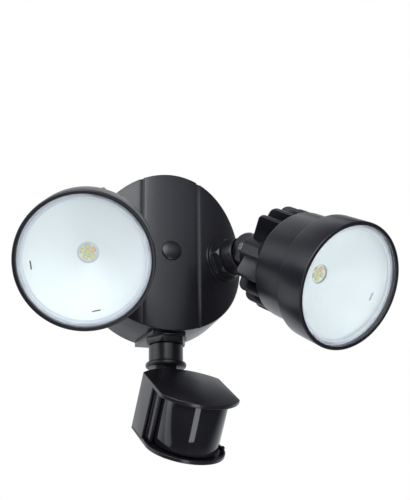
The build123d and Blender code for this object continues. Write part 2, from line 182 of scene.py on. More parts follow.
class Paint(Nodes):
    def __init__(self, name):
        self.material = bpy.data.materials.new(name)
        self.material.use_nodes = True
        super().__init__(self.material.node_tree, "ShaderNodeOutputMaterial")
        self.shader = self.node("ShaderNodeBsdfPrincipled", {})
        self.show(self.shader)

    def set(self, **values):
        for key, value in values.items():
            self.feed(self.shader.inputs[key.replace("_", " ")], value)

    def place(self, scale=(1, 1, 1), shift=(0, 0, 0)):
        coords = self.node("ShaderNodeTexCoord", {})
        spot = coords.outputs["Object"]
        return self.node("ShaderNodeMapping", {}, spot, shift, (0, 0, 0), scale).outputs[0]

    def noise(self, scale, detail=3.0, where=None):
        where = where or self.place()
        settings = {"Vector": where, "Scale": scale, "Detail": detail, "Roughness": 0.55}
        return Signal(self, self.node("ShaderNodeTexNoise", {}, **settings).outputs[0])

    def spread(self, signal, low, high):
        # the middle of a noise stretched over a whole range
        return self.ramp(signal, 0.3, 0.7, low, high)

    def tone(self):
        # a value that some meshes carry at every point
        return self.node("ShaderNodeAttribute", {"attribute_name": "tone"}).outputs["Fac"]

    def mix(self, factor, first, second):
        node = self.node("ShaderNodeMix", {"data_type": "RGBA"})
        self.feed(node.inputs[0], factor)
        self.feed(node.inputs[6], first)
        self.feed(node.inputs[7], second)
        return node.outputs[2]

    def bump(self, height, depth):
        node = self.node("ShaderNodeBump", {}, Strength=1.0, Distance=depth * mm, Height=height)
        self.set(Normal=node.outputs[0])
        return self.material


def satinPaint(name, colour, look):
    # powder coat: fine orange peel, uneven gloss and a trace of dust in the grain
    paint = Paint(name)
    peel = paint.noise(look["peel"], 2.0)
    cloud = paint.noise(look["cloud"], 4.0)
    fleck = paint.noise(look["peel"] * look["fleck"], 1.0)
    shade = tuple(c * look["fade"] for c in colour)
    gloss = paint.spread(cloud, look["gloss"], look["matt"])
    paint.set(
        Base_Color=paint.mix(paint.spread(cloud, 0.0, 1.0), colour, shade),
        Roughness=gloss + (fleck - 0.5) * look["dust"],
        Specular_IOR_Level=0.5,
    )
    return paint.bump(peel + fleck * 0.4, look["depth"])


def rubber(name):
    paint = Paint(name)
    grain = paint.noise(900)
    cloud = paint.spread(paint.noise(60), 0, 1)
    paint.set(
        Base_Color=paint.mix(cloud, (0.018, 0.018, 0.019), (0.032, 0.032, 0.033)),
        Roughness=paint.spread(grain, 0.68, 0.86),
    )
    return paint.bump(grain, 0.06)


def metal(name, colour, dark, gloss, matt, stretch):
    # drawn or turned metal: streaks along the stretched axis
    paint = Paint(name)
    streak = paint.noise(1.0, 4.0, where=paint.place(scale=stretch))
    cloud = paint.noise(140)
    paint.set(
        Base_Color=paint.mix(paint.spread(cloud, 0, 1), colour, dark),
        Metallic=1.0,
        Roughness=paint.spread(streak, gloss, matt),
    )
    return paint.bump(streak, 0.02)


def plastic(name, colour, shade, gloss, matt, grain, depth, edge=None):
    # plastic or smooth paint, with an edge colour where the mesh carries a tone: painted shade, used on the
    # reflector's well
    paint = Paint(name)
    texture = paint.noise(grain)
    cloud = paint.noise(45)
    base = paint.mix(paint.spread(cloud, 0, 1), colour, shade)
    paint.set(
        # the edge colour is painted shade, mixed in as far as the mesh's tone reaches
        Base_Color=paint.mix(paint.tone(), base, edge) if edge else base,
        Roughness=paint.spread(texture * 0.6 + cloud * 0.4, gloss, matt),
    )
    return paint.bump(texture, depth)


def ledPhosphor(name):
    # the tone is 0 on a chip's grey frame, 1 on its face and 2 on the warm one's face
    paint = Paint(name)
    grain = paint.noise(1500)
    tone = paint.tone()
    face = paint.ramp(tone, 0.0, 1.0, 0.0, 1.0)
    warm = paint.ramp(tone, 1.0, 2.0, 0.0, 1.0)
    yellow = paint.mix(paint.spread(grain, 0, 1), (0.72, 0.7, 0.25), (0.66, 0.62, 0.19))
    lit = paint.mix(warm, yellow, (0.85, 0.5, 0.2))
    paint.set(
        Base_Color=paint.mix(face, (0.3, 0.31, 0.3), lit),
        Roughness=paint.spread(grain, 0.3, 0.45),
    )
    return paint.bump(grain, 0.03)


def clearGlass(name):
    # mostly see-through, glossier towards the rim of what is seen
    paint = Paint(name)
    paint.set(
        Base_Color=(0.86, 0.93, 0.94),
        Roughness=paint.spread(paint.noise(70), 0.015, 0.05),
        IOR=1.5,
    )
    clear = paint.node("ShaderNodeBsdfTransparent", {}, (0.99, 1.0, 1.0, 1))
    facing = paint.node("ShaderNodeLayerWeight", {}, 0.5).outputs["Facing"]
    shown = paint.maths("POWER", facing, 5.0) * 0.9 + 0.035
    layers = (clear.outputs[0], paint.shader.outputs[0])
    paint.show(paint.node("ShaderNodeMixShader", {}, shown, *layers))
    return paint.material


satin = dict(
    peel=1500, cloud=24, fleck=2.6, fade=1.25, gloss=0.27, matt=0.34, dust=0.08, depth=0.02,
)
cast = dict(satin, peel=1100, cloud=32, fade=1.4, gloss=0.3, matt=0.4, depth=0.035)
blackPaint = (0.0095, 0.0095, 0.0135)
blackCast = (0.0085, 0.0085, 0.011)
allWays = (700, 700, 700)

plastics = {
    # slot: colour, shade, gloss, matt, grain, depth, edge
    # the reflector's last colour is painted shade for the wall of the well around the LED board
    "reflector_white": (
        (0.82, 0.855, 0.865), (0.8, 0.84, 0.855), 0.3, 0.42, 300, 0.02, (0.4, 0.42, 0.45),
    ),
    "lens_seal_white": ((0.68, 0.71, 0.77), (0.64, 0.67, 0.74), 0.4, 0.55, 700, 0.02),
    "plug_plastic": ((0.009, 0.009, 0.0125), (0.012, 0.012, 0.016), 0.28, 0.38, 1300, 0.02),
    "driver_plastic": ((0.78, 0.78, 0.75), (0.7, 0.7, 0.67), 0.45, 0.62, 900, 0.05),
    "led_board_white": ((0.85, 0.86, 0.84), (0.78, 0.79, 0.78), 0.3, 0.45, 800, 0.02),
    "sensor_plastic": ((0.0105, 0.010, 0.014), (0.013, 0.0125, 0.017), 0.2, 0.28, 1500, 0.015),
    "sensor_window": ((0.010, 0.010, 0.0125), (0.012, 0.012, 0.015), 0.04, 0.08, 90, 0.004),
    "circuit_board": ((0.015, 0.13, 0.06), (0.02, 0.17, 0.08), 0.3, 0.45, 1200, 0.03),
    "control_plastic": ((0.05, 0.05, 0.052), (0.07, 0.07, 0.07), 0.4, 0.55, 1100, 0.05),
}
metals = {
    # slot: colour, dark, gloss, matt, stretch
    "zinc_steel": ((0.62, 0.62, 0.6), (0.5, 0.5, 0.47), 0.28, 0.5, (60, 900, 900)),
    "screw_steel": ((0.36, 0.36, 0.37), (0.28, 0.28, 0.29), 0.24, 0.42, allWays),
    "ground_screw_green": ((0.06, 0.32, 0.1), (0.04, 0.24, 0.08), 0.28, 0.5, allWays),
    "detector_can": ((0.7, 0.7, 0.68), (0.6, 0.6, 0.57), 0.15, 0.3, (400, 400, 400)),
}
paints = {
    # slot: colour, look
    "canopy_paint": (blackPaint, satin), "head_paint": (blackPaint, satin),
    "arm_paint": (blackCast, cast), "nut_paint": (blackCast, cast),
}
tables = {
    satinPaint: paints, plastic: plastics, metal: metals, rubber: {"gasket_rubber": ()},
    clearGlass: {"lens_glass": ()}, ledPhosphor: {"led_yellow": ()},
}
finishes = {}
for maker, table in tables.items():
    for slot, settings in table.items():
        words = slot.split("_")
        label = words[0] + "".join(word.capitalize() for word in words[1:])
        finishes[slot] = maker(label, *settings)

slotOf = {part["node"]: part["material_slot"] for part in frame["record"]["subparts"]}
for name, node in nodes.items():
    node.data.materials.clear()
    node.data.materials.append(finishes[slotOf[name]])
print("finishes made and given to the nodes")

# Places: the frame of each swivel and head in millimetres, X along its pin, Z along its neck or aim

restTilt = {"left": 31.5, "right": 30.1, "sensor": 33.4}
headRise = 3.5    # the lamp's axis stands this far above its tilt pin


def framed(origin, across, along):
    turn = Matrix((across, along.cross(across), along)).transposed().to_4x4()
    return Matrix.Translation(origin) @ turn


def placesOf(side):
    turn, tilt = joints[side + "_turn"], joints[side + "_tilt"]
    pin = Vector(tilt["axis"])
    angle = radians(restTilt[side])
    if side == "sensor":
        neck = -Vector(turn["axis"])
        aim = neck.cross(pin) * cos(angle) + neck * sin(angle)
    else:
        neck = Vector(turn["axis"])
        aim = neck * cos(angle) + pin.cross(neck) * sin(angle)
    boss = framed(Vector(turn["pos_m"]) / mm, pin, neck)
    head = framed(Vector(tilt["pos_m"]) / mm, pin, aim)
    return {"boss": boss, "head": head, "axis": head @ Matrix.Translation((0, headRise, 0))}


places = {side: placesOf(side) for side in restTilt}
wallPlace = framed(Vector((0, 0, 0)), Vector((1, 0, 0)), Vector((0, -1, 0)))
still = Matrix.Identity(4)

# Small kit for meshes, all in millimetres until they are settled


def solid(name, mesh):
    bmesh.ops.remove_doubles(mesh, verts=mesh.verts, dist=0.002)
    bmesh.ops.recalc_face_normals(mesh, faces=mesh.faces)
    data = bpy.data.meshes.new(name)
    mesh.to_mesh(data)
    mesh.free()
    return linked(name, data)


def rounded(points, steps=5):
    # corners given as (x, y, radius) become arcs
    path = []
    for i, point in enumerate(points):
        here = Vector(point[:2])
        if len(point) < 3:
            path.append(here)
            continue
        before = (Vector(points[i - 1][:2]) - here).normalized()
        after = (Vector(points[(i + 1) % len(points)][:2]) - here).normalized()
        half = before.angle(after) / 2
        centre = here + (before + after).normalized() * point[2] / sin(half)
        first = here + before * point[2] / tan(half) - centre
        last = here + after * point[2] / tan(half) - centre
        sweep = atan2(first.x * last.y - first.y * last.x, first.dot(last))
        for k in range(steps + 1):
            path.append(centre + Matrix.Rotation(sweep * k / steps, 2) @ first)
    return path


def arc(centre, radius, start, end, steps):
    # angles in degrees from the first axis
    turns = [radians(start + (end - start) * k / steps) for k in range(steps + 1)]
    return [(centre[0] + radius * cos(a), centre[1] + radius * sin(a)) for a in turns]


def bow(half, edge, apex, steps=40):
    # arc from -half to half through the apex
    sag = abs(apex - edge)
    radius = (half ** 2 + sag ** 2) / (2 * sag)
    sign = 1 if apex > edge else -1
    reach = asin(half / radius)
    turns = [reach * (2 * k / steps - 1) for k in range(steps + 1)]
    return [(radius * sin(a), apex - sign * radius * (1 - cos(a))) for a in turns]


def joined(mesh, first, second):
    # quads between two closed rings of as many points
    for k in range(len(first)):
        after = (k + 1) % len(first)
        mesh.faces.new((first[k], first[after], second[after], second[k]))


def lathe(name, outline, steps=96):
    # (radius, height) points turned about Z, a point on the axis becomes a pole
    mesh = bmesh.new()
    turns = [wholeTurn * k / steps for k in range(steps)]
    rings = []
    for radius, height in outline:
        spots = [(radius * cos(a), radius * sin(a), height) for a in turns]
        if radius < 1e-6:
            spots = [(0, 0, height)]
        rings.append([mesh.verts.new(spot) for spot in spots])
    for first, second in zip(rings, rings[1:] + rings[:1]):
        if len(first) > 1 and len(second) > 1:
            joined(mesh, first, second)
            continue
        for k in range(steps):
            after = (k + 1) % steps
            if len(second) > 1:
                mesh.faces.new((first[0], second[k], second[after]))
            elif len(first) > 1:
                mesh.faces.new((first[k], first[after], second[0]))
    return solid(name, mesh)


def rod(radius, low, high, steps=96):
    return lathe("rod", [(0, low), (radius, low), (radius, high), (0, high)], steps)


def prism(name, outline, low, high, order="xyz"):
    # an outline in the first two axes of the order, drawn out along the third
    slots = ["xyz".index(letter) for letter in order]
    mesh = bmesh.new()
    loops = []
    for level in (low, high):
        loop = []
        for point in outline:
            spot = [0, 0, 0]
            spot[slots[0]], spot[slots[1]], spot[slots[2]] = point[0], point[1], level
            loop.append(mesh.verts.new(spot))
        mesh.faces.new(loop)
        loops.append(loop)
    joined(mesh, *loops)
    return solid(name, mesh)


def brick(name, x, y, z):
    corners = [(x[0], y[0]), (x[1], y[0]), (x[1], y[1]), (x[0], y[1])]
    return prism(name, corners, z[0], z[1])


def baked(made):
    # live modifiers become plain mesh
    graph = bpy.context.evaluated_depsgraph_get()
    data = bpy.data.meshes.new_from_object(made.evaluated_get(graph))
    made.modifiers.clear()
    made.data = data
    return made


def moved(made, place):
    made.data.transform(place)
    return made


def shifted(made, *by):
    return moved(made, Matrix.Translation(by))


def turned(made, angle, axis="Z"):
    # degrees about one of the mesh's own axes
    return moved(made, Matrix.Rotation(radians(angle), 4, axis))


def carved(made, *cutters, operation="DIFFERENCE"):
    for cutter in cutters:
        modifier = made.modifiers.new("carve", "BOOLEAN")
        modifier.operation = operation
        modifier.solver = "EXACT"
        modifier.object = cutter
        baked(made)
        bpy.data.objects.remove(cutter)
    return made


def bevelled(made, width, segments=3, limit=32):
    modifier = made.modifiers.new("softEdge", "BEVEL")
    modifier.width = width
    modifier.segments = segments
    modifier.limit_method = "ANGLE"
    modifier.angle_limit = radians(limit)
    return baked(made)


def gathered(name, *parts):
    mesh = bmesh.new()
    for part in parts:
        mesh.from_mesh(part.data)
        bpy.data.objects.remove(part)
    data = bpy.data.meshes.new(name)
    mesh.to_mesh(data)
    mesh.free()
    return linked(name, data)


def toned(made, rule):
    # a value for every point, read by the material
    tone = made.data.attributes.new("tone", "FLOAT", "POINT")
    for vert in made.data.vertices:
        tone.data[vert.index].value = rule(*vert.co)
    return made


def settled(made, place, body, *replaced, crease=35):
    # into metres and the shared frame, with the finish of the node it stands for
    made.data.transform(Matrix.Scale(mm, 4) @ place)
    made.data.materials.clear()
    made.data.materials.append(finishes[slotOf[replaced[0]]])
    made.data.shade_smooth()
    made.data.set_sharp_from_angle(angle=radians(crease))
    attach(made, body)
    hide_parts(*replaced)


# Copies around an axis: fins and chips


def ringOfCopies():
    tree = bpy.data.node_groups.new("ringOfCopies", "GeometryNodeTree")
    sockets = {}
    tree.interface.new_socket("Geometry", in_out="OUTPUT", socket_type="NodeSocketGeometry")
    kinds = {"Geometry": "Geometry", "Places": "Int", "Bare": "Float", "Finish": "Material"}
    for name, kind in kinds.items():
        made = tree.interface.new_socket(name, in_out="INPUT", socket_type="NodeSocket" + kind)
        sockets[name] = made.identifier
    ring = Nodes(tree, "NodeGroupOutput")
    given = ring.node("NodeGroupInput", {}).outputs
    index = ring.node("GeometryNodeInputIndex", {}).outputs[0]
    angle = ring.maths("DIVIDE", ring.maths("MULTIPLY", index, wholeTurn), given["Places"])
    aside = ring.maths("ABSOLUTE", ring.maths("COSINE", angle))
    spin = ring.node("ShaderNodeCombineXYZ", {}, Z=angle).outputs[0]
    copies = ring.node(
        "GeometryNodeInstanceOnPoints", {},
        Points=ring.node("GeometryNodePoints", {}, Count=given["Places"]).outputs[0],
        Selection=ring.maths("LESS_THAN", aside, given["Bare"]),
        Instance=given["Geometry"],
        Rotation=ring.node("FunctionNodeEulerToRotation", {}, Euler=spin).outputs[0],
    )
    real = ring.node("GeometryNodeRealizeInstances", {}, copies.outputs[0]).outputs[0]
    ring.show(ring.node("GeometryNodeSetMaterial", {}, Geometry=real, Material=given["Finish"]))
    return tree, sockets


ringTree, ringSockets = ringOfCopies()


def repeated(made, count, bare, finish):
    # copies whose direction is nearer the X axis than the bare cosine are left out
    modifier = made.modifiers.new("ringOfCopies", "NODES")
    modifier.node_group = ringTree
    modifier[ringSockets["Places"]] = count
    modifier[ringSockets["Bare"]] = bare
    modifier[ringSockets["Finish"]] = finish
    return baked(made)


print("kit ready")

# Canopy: a drum whose front is curved about a vertical axis, with two soft-edged grooves

canopyShape = dict(
    radius=63.5, rim=0.8, curve=96.0, curveMiddle=43.0, wall=2.6, back=-2.0, backEdge=0.4,
    sideMiddle=-16, grooveAt=22.6, grooveHalf=1.35, grooveDepth=1.2, lip=0.3, seat=18.4,
    seatDeep=-6.5, stemHole=10.6, stemCut=(-12, 6), plugHole=6.95, plugCut=(47, 56),
    padHigh=(-65, -59), pillarAt=(26, 36),
    pad=[(-13, -46, 2), (13, -46, 2), (17, -2), (-17, -2)],
    pillar=[(1.25, 30), (4, 30), (4, 47.6), (1.25, 47.6)],
    post=[
        (2.7, 12), (9.5, 12, 0.5), (9.5, 41), (11.5, 41), (11.5, 51), (6.95, 51), (6.95, 45),
        (2.7, 45),
    ],
)


def grooveColumns(shape):
    half, depth, lip = pick(shape, "grooveHalf grooveDepth lip")
    side = arc((-half - lip, lip), lip, -90, 0, 4)
    side += arc((-half + lip, depth - lip), lip, 180, 90, 4)
    return side + [(-x, y) for x, y in reversed(side)]


def levelFloor(shape, x, depth):
    # the groove's floor faces straight ahead, not along the curved face
    middle = copysign(shape["grooveAt"], x)
    if depth < shape["grooveDepth"] - shape["lip"] - 0.01:
        return depth
    curve = shape["curve"]
    return depth - sqrt(curve ** 2 - middle ** 2) + sqrt(curve ** 2 - x ** 2)


def canopyColumns(shape):
    # distance across and depth below the curved face, from left to right
    reach = shape["radius"] - shape["rim"]
    clear = shape["grooveHalf"] + shape["lip"] + 0.4
    at = shape["grooveAt"]
    plain = [reach * sin(radians(-90 + 2.5 * k)) for k in range(73)]
    plain = [x for x in plain if abs(abs(x) - at) > clear]
    columns = [(x, 0.0) for x in plain if x < -at]
    columns += [(x - at, y) for x, y in grooveColumns(shape)]
    columns += [(x, 0.0) for x in plain if -at < x < at]
    columns += [(x + at, y) for x, y in grooveColumns(shape)]
    return columns + [(x, 0.0) for x in plain if x > at]


def canopyFace(mesh, shape, reach, curve, grooved, rows=6):
    # one curved face, front or inside, returned as the loop of its edge
    outerReach = shape["radius"] - shape["rim"]
    grid = []
    for x, depth in canopyColumns(shape):
        across = x * reach / outerReach
        high = sqrt(max(reach ** 2 - across ** 2, 0))
        y = shape["curveMiddle"] - sqrt(curve ** 2 - across ** 2)
        y += levelFloor(shape, x, depth) if grooved else 0
        levels = [high * (2 * k / rows - 1) for k in range(rows + 1)] if high > 0.01 else [0]
        grid.append([mesh.verts.new((across, y, z)) for z in levels])
    edge = [column[-1] for column in grid] + [column[0] for column in grid[-2:0:-1]]
    grid[0], grid[-1] = grid[0] * (rows + 1), grid[-1] * (rows + 1)    # the points at the sides
    for first, second in zip(grid, grid[1:]):
        for k in range(rows):
            corners = (first[k], second[k], second[k + 1], first[k + 1])
            mesh.faces.new(list(dict.fromkeys(corners)))
    return edge


def canopyDrum(shape):
    mesh = bmesh.new()
    radius, edge, back = pick(shape, "radius backEdge back")
    outerReach, innerReach = radius - shape["rim"], radius - shape["wall"]
    outer = canopyFace(mesh, shape, outerReach, shape["curve"], True)
    inner = canopyFace(mesh, shape, innerReach, shape["curve"] - shape["wall"], False)
    columns = []
    for vert in outer:
        ux, uz = vert.co.x / outerReach, vert.co.z / outerReach
        start = atan(vert.co.x * ux / sqrt(shape["curve"] ** 2 - vert.co.x ** 2))
        bend = shape["rim"] / (1 - sin(start))
        steps = []
        for k in range(1, 6):
            a = start + (pi / 2 - start) * k / 5
            out = outerReach + bend * (sin(a) - sin(start))
            steps.append((out, vert.co.y + bend * (cos(start) - cos(a))))
        steps += [(radius, shape["sideMiddle"]), (radius, back - edge), (radius - edge, back)]
        steps.append((innerReach, back))
        columns.append([mesh.verts.new((ux * out, y, uz * out)) for out, y in steps])
    chain = [outer] + [list(ring) for ring in zip(*columns)] + [inner]
    for first, second in zip(chain, chain[1:]):
        joined(mesh, first, second)
    return solid("canopyDrum", mesh)


def canopyHousing(shape):
    hole, deep = pick(shape, "stemHole seatDeep")
    parts = [moved(lathe("canopyPost", rounded(shape["post"])), wallPlace)]
    across, up = shape["pillarAt"]
    for side in (-1, 1):
        pillar = moved(lathe("driverPillar", shape["pillar"], 48), wallPlace)
        parts.append(shifted(pillar, side * across, 0, up))
    for side in ("left", "right"):
        seat = rounded([(hole, deep), (shape["seat"], deep), (shape["seat"], 0, 0.6), (hole, 0)])
        parts.append(moved(lathe("armSeat", seat), places[side]["boss"]))
    pad = bevelled(prism("sensorPad", rounded(shape["pad"]), *shape["padHigh"]), 0.5)
    cutter = moved(rod(hole, -30, 30), places["sensor"]["boss"])
    parts.append(carved(pad, cutter))
    drum = canopyDrum(shape)
    for place in places.values():
        carved(drum, moved(rod(hole, *shape["stemCut"]), place["boss"]))
    carved(drum, moved(rod(shape["plugHole"], *shape["plugCut"]), wallPlace))
    return gathered("canopyHousing", drum, *parts)


settled(canopyHousing(canopyShape), still, "canopy", "canopy_housing", crease=40)

plugShape = dict(radius=7.75, dome=1.6, cap=54.0, flange=52.2, stem=6.9, stemFrom=48.6)


def centrePlug(shape):
    radius, dome, cap, stem = pick(shape, "radius dome cap stem")
    bend = (radius ** 2 + dome ** 2) / (2 * dome)
    centre = cap + dome - bend
    outline = [(0, shape["stemFrom"]), (stem, shape["stemFrom"]), (stem, shape["flange"])]
    outline += [(radius, shape["flange"]), (radius, cap - 0.5), (radius - 0.12, cap - 0.1)]
    for k in range(12):
        out = (radius - 0.5) * (1 - k / 12)
        outline.append((out, centre + sqrt(bend ** 2 - out ** 2)))
    return lathe("centrePlug", outline + [(0, centre + bend)])


settled(centrePlug(plugShape), wallPlace, "canopy", "centre_plug", crease=50)
print("canopy made")

# Lock nuts: six flats with a turned chamfer over a round flange

nutShape = dict(
    flats=28.0, thick=9.0, flange=17.2, flangeThick=2.0, flangeEdge=0.5, bore=10.26,
    chamferFrom=14.77, chamferFall=1.8, soft=0.35, corner=1.14,
)
sensorNut = dict(nutShape, thick=6.0, flange=16.2, flangeThick=1.2)
clampNutShape = dict(nutShape, flats=9.0, thick=3.8, flange=0, bore=3.02, chamferFrom=4.7)


def hexNut(name, shape, steps=180):
    half, thick, flange = shape["flats"] / 2, shape["thick"], shape["flange"]
    bore, top, soft, base, edge = pick(shape, "bore chamferFrom soft flangeThick flangeEdge")

    def profile(flat):
        # (radius, height) points where the side of the hexagon is this far out
        points = [(bore, 0)]
        if flange:
            points += [(flange - edge, 0)] + arc((flange - edge, edge), edge, -67.5, 0, 3)
            points += arc((flange - edge, base - edge), edge, 0, 90, 4)
            points += [(flat + soft, base), (flat, base + soft)]
        else:
            points.append((flat, 0))
        fall = max(0, flat - top) * shape["chamferFall"]
        points += [(flat, thick - soft - fall), (flat - 0.1, thick - 0.1 - fall)]
        points.append((min(flat - soft, top - 0.3), thick))
        return points + [(bore + 0.5, thick), (bore, thick - 0.5)]

    mesh = bmesh.new()
    columns = []
    for k in range(steps):
        turn = wholeTurn * k / steps
        flat = min(half / cos(turn % (pi / 3) - pi / 6), half * shape["corner"])
        spots = [(out * cos(turn), out * sin(turn), up) for out, up in profile(flat)]
        columns.append([mesh.verts.new(spot) for spot in spots])
    rings = list(zip(*columns))
    for first, second in zip(rings, rings[1:] + rings[:1]):
        joined(mesh, first, second)
    return solid(name, mesh)


for side, place in places.items():
    nut = hexNut(side + "LockNut", sensorNut if side == "sensor" else nutShape)
    settled(nut, place["boss"], "canopy", side + "_lock_nut", crease=28)

# Swivel arms: threaded stem, neck, and a flat tongue for the tilt pin

armShape = dict(
    stem=10.2, stemFrom=-12, pitch=1.8, bore=5.5, neck=13.1, neckStart=9.3, sensorStart=6.3,
    cup=15.1, cupEnd=19.8, cupFloor=11, collar=15.6, collarFrom=19.6, collarTo=23.6,
    tongueHalf=5.3, pinHole=3.06, lampPivot=29.35, sensorPivot=35.5,
)


def stemOutline(shape, end):
    # bore, then the thread's ridges up to the neck
    stem, start = pick(shape, "stem stemFrom")
    outline = [(shape["bore"], start), (stem - 1.0, start), (stem - 0.55, start + 0.4)]
    for k in range(10):
        low, root = start + 0.8 + shape["pitch"] * k, stem - 0.5
        outline += [(root, low), (stem, low + 0.5), (stem, low + 0.8), (root, low + 1.3)]
    return [point for point in outline if point[1] < end - 0.8]


def tongue(pivot, base, width, radius, shape):
    half = shape["tongueHalf"]
    outline = [(-width, base), (width, base)] + arc((0, pivot), radius, 0, 180, 28)
    lug = bevelled(prism("tongue", outline, -half, half, "yzx"), 0.5)
    hole = turned(rod(shape["pinHole"], -20, 20, 48), 90, "Y")
    return carved(lug, shifted(hole, 0, 0, pivot))


def lampArm(name, shape):
    # the neck ends in a cup around the fork's ball
    stem, neck, bore, floor = pick(shape, "stem neck bore cupFloor")
    start, end, pivot, cup = pick(shape, "neckStart cupEnd lampPivot cup")
    mouth = sqrt(cup ** 2 - (pivot - end) ** 2)
    outline = [(0, floor), (bore, floor)] + stemOutline(shape, start)
    outline += rounded([
        (stem, start), (neck, start, 0.6), (neck, end, 1.1), (mouth, end, 0.2),
        (mouth - 1, end - 0.8),
    ])[:-1]
    inward = asin(mouth / cup)
    for k in range(1, 12):
        a = inward * (1 - k / 12)
        outline.append((cup * sin(a), pivot - cup * cos(a)))
    body = lathe(name, outline + [(0, pivot - cup)])
    return gathered(name, body, tongue(pivot, 13.0, 9.0, 9.6, shape))


def sensorArm(name, shape):
    stem, neck, bore, collar = pick(shape, "stem neck bore collar")
    start, low, high = pick(shape, "sensorStart collarFrom collarTo")
    outline = [(0, low + 1), (bore, low + 1)] + stemOutline(shape, start)
    outline += rounded([
        (stem, start), (neck, start, 0.7), (neck, low, 0.5), (collar, low, 1.7),
        (collar, high, 1.7), (0, high),
    ], 7)
    return gathered(name, lathe(name, outline), tongue(shape["sensorPivot"], 23.0, 8.8, 8.8, shape))


for side, place in places.items():
    maker = sensorArm if side == "sensor" else lampArm
    settled(maker(side + "Arm", armShape), place["boss"], side + "_swivel", side + "_arm")
print("nuts and arms made")

# Clamp screws and nuts through the tilt pins

screwShape = dict(head=3.7, high=2.6, shank=3.0, past=4.6, cross=4.8, slot=1.0, deep=1.3)


def clampScrew(name, flat, shape):
    head, top, shank = shape["head"], flat + shape["high"], shape["shank"]
    end = -flat - shape["past"]
    screw = lathe(name, rounded([
        (0, end), (shank, end, 0.5), (shank, flat), (head, flat, 0.25), (head, top, 1.3), (0, top),
    ], 6), 64)
    long, short = shape["cross"] / 2, shape["slot"] / 2
    for x, y in ((long, short), (short, long)):
        carved(screw, brick("recess", (-x, x), (-y, y), (top - shape["deep"], top + 1)))
    return turned(screw, -90, "Y")


# from the middle of each head to the faces under its screw and nut
flats = {"left": 9.0, "right": 9.0, "sensor": 13.6}

for side, flat in flats.items():
    head, body = places[side]["head"], side + "_head"
    settled(clampScrew(side + "ClampScrew", flat, screwShape), head, body, side + "_clamp_screw")
    nut = turned(hexNut(side + "ClampNut", clampNutShape, 96), 90, "Y")
    settled(shifted(nut, flat, 0, 0), head, body, side + "_clamp_nut", crease=28)
print("clamp screws made")

# Lamp heads: the heat sink casting, front ring, glass, seal, reflector and LEDs

headShape = dict(
    rim=111.8, ringBack=85.6, skirtBack=52.6, skirt=41.4, taper=1.0, ring=47.2, window=44.3,
    ledge=6.2, glassBack=4.0, glassFront=1.0, coneFrom=22.0, cone=(13.8, 23.6), bore=38.4,
    boardStand=13.0, ball=14.6, stalkHalf=14.2, stalkEnd=46, flat=9.0, slotHalf=5.6,
    screwStep=4.2, nutStep=5.6, pinHole=3.02, board=76.8, boardRadius=12.0, boardThick=1.6,
    throat=7.0,
)
finShape = dict(
    places=20, bare=0.945, thick=3.0, inner=10.5, root=13.4, out=39.9, low=8.6, slope=0.8,
    corner=11.0, sunk=1.6,
)


def pinCylinder(radius, near, far):
    return turned(rod(radius, near, far, 72), 90, "Y")


def forkBlock(name, left, right, top):
    # deep enough to cut through the whole fork
    return brick(name, (left, right), (-22, 22), (-22, top))


def forkSlot(shape):
    half = shape["slotHalf"]
    return [
        forkBlock("slot", -half, half, 0),
        pinCylinder(shape["ball"] + 0.3, -half, half),
    ]


def fork(shape):
    # one casting: ball and stalk, cut flat beside the screw head and nut, then softened
    ball, end = pick(shape, "ball stalkEnd")
    turns = [radians(90 * k / 24) for k in range(1, 25)]
    outline = [(0, -ball)] + [(ball * sin(a), -ball * cos(a)) for a in turns]
    body = lathe("fork", outline + [(ball, end), (0, end)])
    half, flat = pick(shape, "stalkHalf flat")
    carved(
        body,
        forkBlock("leftSide", -30, -half, 60),
        forkBlock("rightSide", half, 30, 60),
        forkBlock("screwPocket", -30, -flat, shape["screwStep"]),
        forkBlock("nutPocket", flat, 30, shape["nutStep"]),
        *forkSlot(shape),
        pinCylinder(shape["pinHole"], -22, 22),
    )
    melt = body.modifiers.new("melt", "REMESH")
    melt.mode = "VOXEL"
    melt.voxel_size = 0.5
    baked(body)
    ease = body.modifiers.new("ease", "SMOOTH")
    ease.factor = 0.5
    ease.iterations = 3
    return baked(body)


def finSet(shape, fins):
    inner, root, out, low = pick(fins, "inner root out low")
    back, end = low + fins["slope"] * (out - root), shape["skirtBack"] + fins["sunk"]
    half = fins["thick"] / 2
    outline = rounded([
        (inner, low), (root, low, 1.0), (out, back, fins["corner"]), (out, end), (inner, end),
    ], 8)
    blade = bevelled(prism("fins", outline, -half, half, "xzy"), 0.9, 4)
    repeated(blade, fins["places"], fins["bare"], finishes["head_paint"])
    return carved(shifted(blade, 0, headRise, 0), *forkSlot(shape))


def heatSink(name, shape, fins):
    back, bore, stand = pick(shape, "skirtBack bore boardStand")
    start, (cone, coneEnd) = shape["coneFrom"], shape["cone"]
    lip, sleeve = shape["ringBack"] + 2.9, shape["window"] - 0.1
    flange, floor, top = shape["rim"] - 19.6, back + 5.5, shape["board"] - shape["boardThick"]
    narrow = shape["skirt"] - shape["taper"]
    outline = rounded([
        (0, start), (cone, start, 1.0), (coneEnd, back, 2.0), (narrow, back, 3.5),
        (shape["skirt"], lip), (sleeve, lip), (sleeve, flange), (bore, flange), (bore, floor),
        (stand, floor), (stand, top), (0, top),
    ], 8)
    skirt = shifted(lathe("skirt", outline, 144), 0, headRise, 0)
    return gathered(name, fork(shape), skirt, finSet(shape, fins))


def frontRing(name, shape):
    rim, back, window = pick(shape, "rim ringBack window")
    sleeve, catch, ledge = shape["skirt"] + 0.05, window - 0.8, rim - shape["ledge"]
    return lathe(name, rounded([
        (sleeve, back, 0.3), (shape["ring"] - 1.0, back, 1.3), (shape["ring"], rim, 1.0),
        (window, rim, 0.5), (window, ledge), (catch, ledge), (catch, ledge - 2.0),
        (window, ledge - 2.0), (window, back + 2.8), (sleeve, back + 2.8),
    ], 6), 160)


glassShape = dict(step=42.7, lip=41.9, middle=41.0, stepDeep=0.5, lipHigh=0.2)


